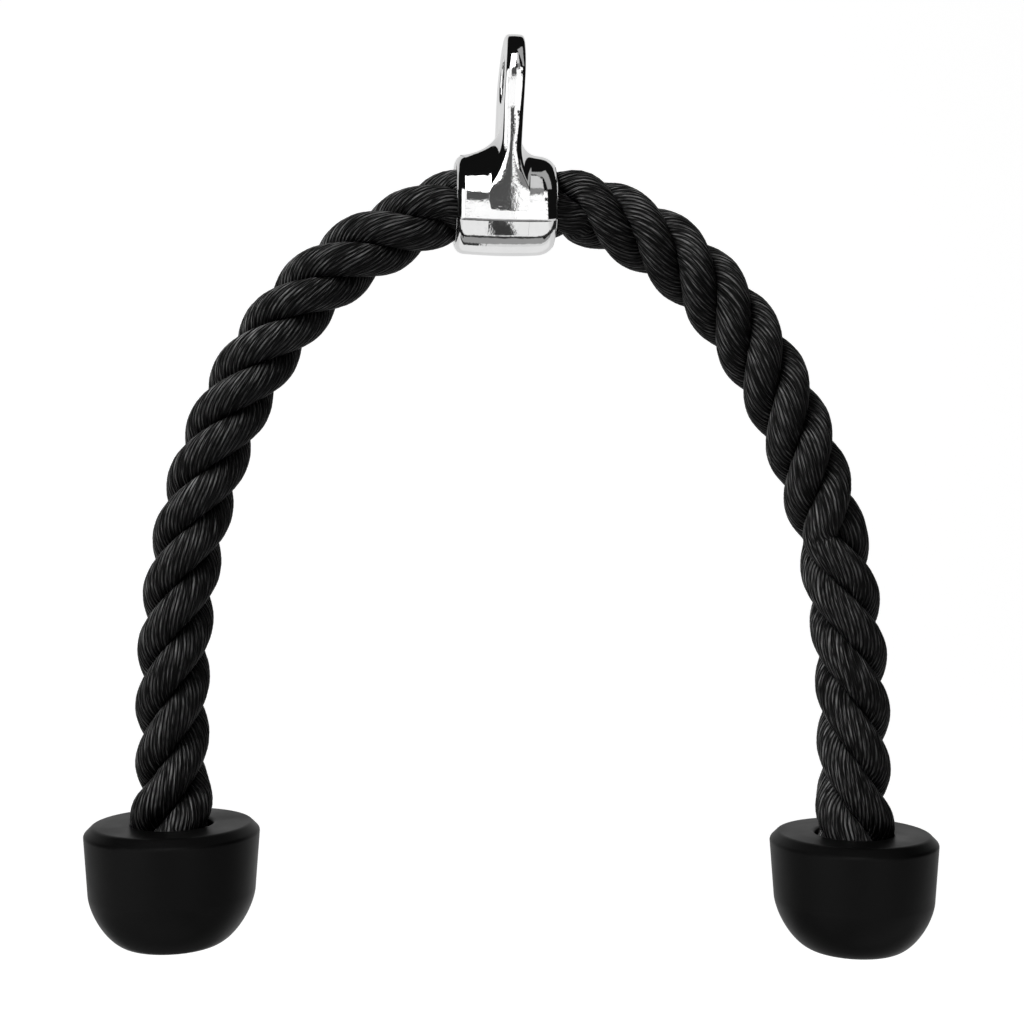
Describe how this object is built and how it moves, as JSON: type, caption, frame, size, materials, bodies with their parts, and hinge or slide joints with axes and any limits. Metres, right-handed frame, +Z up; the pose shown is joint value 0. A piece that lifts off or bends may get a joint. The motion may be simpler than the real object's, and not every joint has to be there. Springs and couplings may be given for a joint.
{
  "type": "triceps rope attachment",
  "caption": "Cable machine rope attachment: a chromed hanger with an eye, a laid rope through its barrel, and a rubber stopper on each end of the rope.",
  "frame": {"origin": "centre of the hanger's eye, where the cable's snap hook holds the attachment", "axes": "+X along the hanger's barrel and the rope in it, towards the longer leg; +Z up; -Y is the front"},
  "size_m": [0.3456, 0.0686, 0.3726],
  "materials": {
    "chrome": "polished",
    "rope": "satin",
    "rubber": "satin",
    "steel": "satin"
  },
  "bodies": {
    "hanger": {"hanger": "chrome"},
    "rope": {"rope_core": "rope"},
    "left_leg": {"rope_leg_left": "rope", "rope_end_left": "rope", "washer_left": "steel", "ferrule_left": "steel", "ferrule_pin_left": "steel"},
    "left_stopper": {"stopper_left": "rubber", "base_plug_left": "rubber"},
    "right_leg": {"rope_leg_right": "rope", "rope_end_right": "rope", "washer_right": "steel", "ferrule_right": "steel", "ferrule_pin_right": "steel"},
    "right_stopper": {"stopper_right": "rubber", "base_plug_right": "rubber"}
  },
  "joints": [
    {"name": "rope_swing", "type": "hinge", "parent": "hanger", "child": "rope", "pos_m": [0, 0, -0.0505], "axis": [1, 0, 0], "continuous": true},
    {"name": "left_leg_spread", "type": "hinge", "parent": "rope", "child": "left_leg", "pos_m": [-0.0208, 0, -0.0505], "axis": [0, 1, 0], "range_deg": [-20, 35], "stiffness_Nm_per_rad": 1.5, "springref_deg": 9.41, "deforming": ["rope_leg_left"]},
    {"name": "right_leg_spread", "type": "hinge", "parent": "rope", "child": "right_leg", "pos_m": [0.0208, 0, -0.0505], "axis": [0, -1, 0], "range_deg": [-20, 35], "stiffness_Nm_per_rad": 1.5, "springref_deg": 10.33, "deforming": ["rope_leg_right"]},
    {"name": "left_stopper_turn", "type": "hinge", "parent": "left_leg", "child": "left_stopper", "pos_m": [-0.1335, 0, -0.2978], "axis": [0, 0, 1], "continuous": true},
    {"name": "right_stopper_turn", "type": "hinge", "parent": "right_leg", "child": "right_stopper", "pos_m": [0.1435, 0, -0.3068], "axis": [0, 0, 1], "continuous": true}
  ]
}
